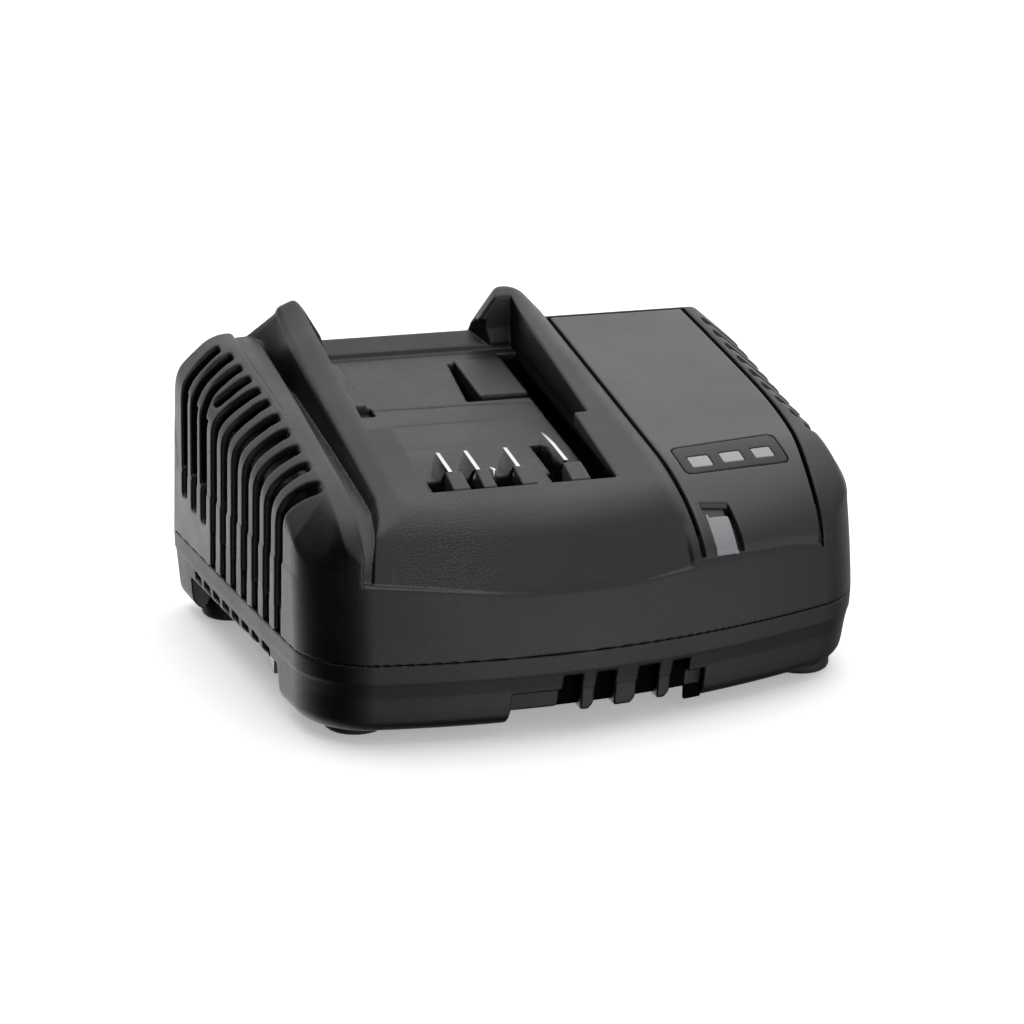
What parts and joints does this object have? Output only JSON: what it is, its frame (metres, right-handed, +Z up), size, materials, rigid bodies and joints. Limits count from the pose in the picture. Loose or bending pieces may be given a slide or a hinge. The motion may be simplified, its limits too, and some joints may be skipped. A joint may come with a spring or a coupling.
{
  "type": "power tool battery charger",
  "caption": "Desktop charger for slide-on tool battery packs: two-part vented case with a sloped dock between guide fins, blade terminals, charge gauge and cooling fan.",
  "frame": {"origin": "middle of the case's footprint, on the surface it stands on", "axes": "+X to the right seen from the front, +Y to the back, +Z up"},
  "size_m": [0.1672, 0.1298, 0.0837],
  "materials": {
    "case_black": "fine moulded grain",
    "base_black": "fine moulded grain",
    "panel_grey": "smooth satin",
    "lens_dark": "gloss",
    "window_white": "satin",
    "light_pipe": "clear moulded",
    "holder_black": "satin",
    "contact_metal": "plated",
    "board_green": "solder mask",
    "led_body": "gloss",
    "ferrite": "sintered",
    "bobbin": "satin",
    "copper_wire": "enamelled",
    "capacitor_sleeve": "gloss",
    "film_yellow": "gloss",
    "fuse_glass": "clear",
    "varistor_blue": "dipped",
    "chip_black": "moulded",
    "heatsink": "extruded",
    "fan_black": "satin",
    "steel": "zinc plated",
    "lead_red": "insulated",
    "ribbon_grey": "insulated",
    "foot_rubber": "matte"
  },
  "bodies": {
    "charger": {"upper_shell": "case_black", "lower_shell": "base_black", "top_panel": "panel_grey", "gauge_lens": "lens_dark", "gauge_windows": "window_white", "status_light_pipe": "light_pipe", "terminal_holder": "holder_black", "terminal_blade_1": "contact_metal", "terminal_blade_2": "contact_metal", "terminal_blade_3": "contact_metal", "terminal_blade_4": "contact_metal", "terminal_contact_5": "contact_metal", "main_board": "board_green", "led_board": "board_green", "gauge_leds": "led_body", "status_led": "led_body", "transformer_core": "ferrite", "transformer_bobbin": "bobbin", "transformer_winding": "copper_wire", "bulk_capacitor": "capacitor_sleeve", "output_capacitors": "capacitor_sleeve", "mains_choke_core": "ferrite", "mains_choke_winding": "copper_wire", "film_capacitor": "film_yellow", "fuse": "fuse_glass", "varistor": "varistor_blue", "bridge_rectifier": "chip_black", "primary_heatsink": "heatsink", "switching_transistor": "chip_black", "output_heatsink": "heatsink", "output_rectifier": "chip_black", "control_chips": "chip_black", "optocoupler": "chip_black", "inlet_body": "holder_black", "inlet_pins": "contact_metal", "fan_frame": "fan_black", "fan_screws": "steel", "fan_lead": "lead_red", "terminal_leads": "lead_red", "led_ribbon": "ribbon_grey", "case_screws": "steel", "board_screws": "steel", "rubber_feet": "foot_rubber"},
    "fan": {"fan_rotor": "fan_black", "fan_shaft": "steel"}
  },
  "joints": [
    {"name": "fan_spin", "type": "hinge", "parent": "charger", "child": "fan", "pos_m": [-0.0665, 0.012, 0.0301], "axis": [1, 0, 0], "continuous": true}
  ]
}
